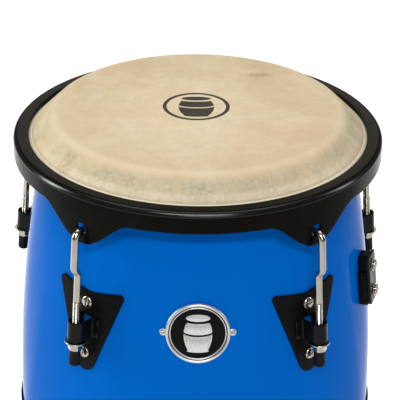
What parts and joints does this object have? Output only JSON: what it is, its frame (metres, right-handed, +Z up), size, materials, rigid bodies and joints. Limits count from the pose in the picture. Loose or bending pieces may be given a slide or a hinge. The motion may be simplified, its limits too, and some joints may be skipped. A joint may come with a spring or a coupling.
{
  "type": "conga drum",
  "caption": "Conga drum with a blue barrel shell, hide head, black tuning rim with hooked lugs on side plates, steel bands, round badge and a side bracket for a stand.",
  "frame": {"origin": "on the drum's axis, at the level of the floor it stands on", "axes": "+Z up along the drum's axis to the playing surface, -Y to the badge at the front, the stand bracket towards +X"},
  "size_m": [0.3606, 0.3635, 0.711],
  "materials": {
    "shell_lacquer": "opaque blue gloss lacquer over wood, bare wood inside",
    "rawhide": "matte natural hide, mottled",
    "black_steel": "black powder coat, satin",
    "grey_black_steel": "dark grey powder coat, satin",
    "black_moulding": "moulded, fine texture",
    "nickel_plate": "bright nickel plate",
    "bare_steel": "zinc plated, dull",
    "black_rubber": "matte",
    "badge_black": "gloss enamel",
    "badge_silver": "polished and brushed"
  },
  "bodies": {
    "drum": {"shell": "shell_lacquer", "drumhead": "rawhide", "belly_band": "black_steel", "foot_band": "black_steel", "base_ring": "black_rubber", "side_plate_1": "black_steel", "side_plate_2": "black_steel", "side_plate_3": "black_steel", "side_plate_4": "black_steel", "side_plate_5": "black_steel", "lug_sleeve_1": "black_steel", "lug_sleeve_2": "black_steel", "lug_sleeve_3": "black_steel", "lug_sleeve_4": "black_steel", "lug_sleeve_5": "black_steel", "side_plate_bolt_upper_1": "nickel_plate", "side_plate_bolt_lower_1": "nickel_plate", "side_plate_bolt_upper_2": "nickel_plate", "side_plate_bolt_lower_2": "nickel_plate", "side_plate_bolt_upper_3": "nickel_plate", "side_plate_bolt_lower_3": "nickel_plate", "side_plate_bolt_upper_4": "nickel_plate", "side_plate_bolt_lower_4": "nickel_plate", "side_plate_bolt_upper_5": "nickel_plate", "side_plate_bolt_lower_5": "nickel_plate", "lug_washer_1": "nickel_plate", "lug_washer_2": "nickel_plate", "lug_washer_3": "nickel_plate", "lug_washer_4": "nickel_plate", "lug_washer_5": "nickel_plate", "badge_plate": "badge_black", "badge_ring": "badge_silver", "badge_pin_left": "badge_silver", "badge_pin_right": "badge_silver", "bracket_body": "black_moulding", "bracket_cover": "grey_black_steel", "bracket_backing_plate": "bare_steel", "bracket_bolt_1": "nickel_plate", "bracket_bolt_2": "nickel_plate", "bracket_washer_1": "nickel_plate", "bracket_washer_2": "nickel_plate"},
    "rim": {"rim": "black_steel", "flesh_hoop": "bare_steel", "head_collar": "rawhide"},
    "lug_1": {"hook_lug_1": "nickel_plate", "lug_cap_1": "black_rubber"},
    "nut_1": {"tuning_nut_1": "nickel_plate"},
    "lug_2": {"hook_lug_2": "nickel_plate", "lug_cap_2": "black_rubber"},
    "nut_2": {"tuning_nut_2": "nickel_plate"},
    "lug_3": {"hook_lug_3": "nickel_plate", "lug_cap_3": "black_rubber"},
    "nut_3": {"tuning_nut_3": "nickel_plate"},
    "lug_4": {"hook_lug_4": "nickel_plate", "lug_cap_4": "black_rubber"},
    "nut_4": {"tuning_nut_4": "nickel_plate"},
    "lug_5": {"hook_lug_5": "nickel_plate", "lug_cap_5": "black_rubber"},
    "nut_5": {"tuning_nut_5": "nickel_plate"}
  },
  "joints": [
    {"name": "rim_tuning", "type": "slide", "parent": "drum", "child": "rim", "axis": [0, 0, 1], "range_m": [-0.00635, 0], "deforming": ["head_collar"]},
    {"name": "lug_slide_1", "type": "slide", "parent": "drum", "child": "lug_1", "axis": [-0.0584, 0.0804, 0.9951], "range_m": [-0.0064, 0]},
    {"name": "nut_turn_1", "type": "hinge", "parent": "drum", "child": "nut_1", "pos_m": [0.10594, -0.14582, 0.55012], "axis": [-0.0584, 0.0804, 0.9951], "range_deg": [0, 1810]},
    {"name": "lug_slide_2", "type": "slide", "parent": "drum", "child": "lug_2", "axis": [-0.0945, -0.0307, 0.9951], "range_m": [-0.0064, 0]},
    {"name": "nut_turn_2", "type": "hinge", "parent": "drum", "child": "nut_2", "pos_m": [0.17142, 0.0557, 0.55012], "axis": [-0.0945, -0.0307, 0.9951], "range_deg": [0, 1810]},
    {"name": "lug_slide_3", "type": "slide", "parent": "drum", "child": "lug_3", "axis": [0, -0.0993, 0.9951], "range_m": [-0.0064, 0]},
    {"name": "nut_turn_3", "type": "hinge", "parent": "drum", "child": "nut_3", "pos_m": [0, 0.18024, 0.55012], "axis": [0, -0.0993, 0.9951], "range_deg": [0, 1810]},
    {"name": "lug_slide_4", "type": "slide", "parent": "drum", "child": "lug_4", "axis": [0.0945, -0.0307, 0.9951], "range_m": [-0.0064, 0]},
    {"name": "nut_turn_4", "type": "hinge", "parent": "drum", "child": "nut_4", "pos_m": [-0.17142, 0.0557, 0.55012], "axis": [0.0945, -0.0307, 0.9951], "range_deg": [0, 1810]},
    {"name": "lug_slide_5", "type": "slide", "parent": "drum", "child": "lug_5", "axis": [0.0584, 0.0804, 0.9951], "range_m": [-0.0064, 0]},
    {"name": "nut_turn_5", "type": "hinge", "parent": "drum", "child": "nut_5", "pos_m": [-0.10594, -0.14582, 0.55012], "axis": [0.0584, 0.0804, 0.9951], "range_deg": [0, 1810]}
  ],
  "couplings": [
    {"joint": "lug_slide_1", "follows": "rim_tuning", "ratio": 1.005},
    {"joint": "nut_turn_1", "follows": "rim_tuning", "rad_per_m": -4972},
    {"joint": "lug_slide_2", "follows": "rim_tuning", "ratio": 1.005},
    {"joint": "nut_turn_2", "follows": "rim_tuning", "rad_per_m": -4972},
    {"joint": "lug_slide_3", "follows": "rim_tuning", "ratio": 1.005},
    {"joint": "nut_turn_3", "follows": "rim_tuning", "rad_per_m": -4972},
    {"joint": "lug_slide_4", "follows": "rim_tuning", "ratio": 1.005},
    {"joint": "nut_turn_4", "follows": "rim_tuning", "rad_per_m": -4972},
    {"joint": "lug_slide_5", "follows": "rim_tuning", "ratio": 1.005},
    {"joint": "nut_turn_5", "follows": "rim_tuning", "rad_per_m": -4972}
  ]
}
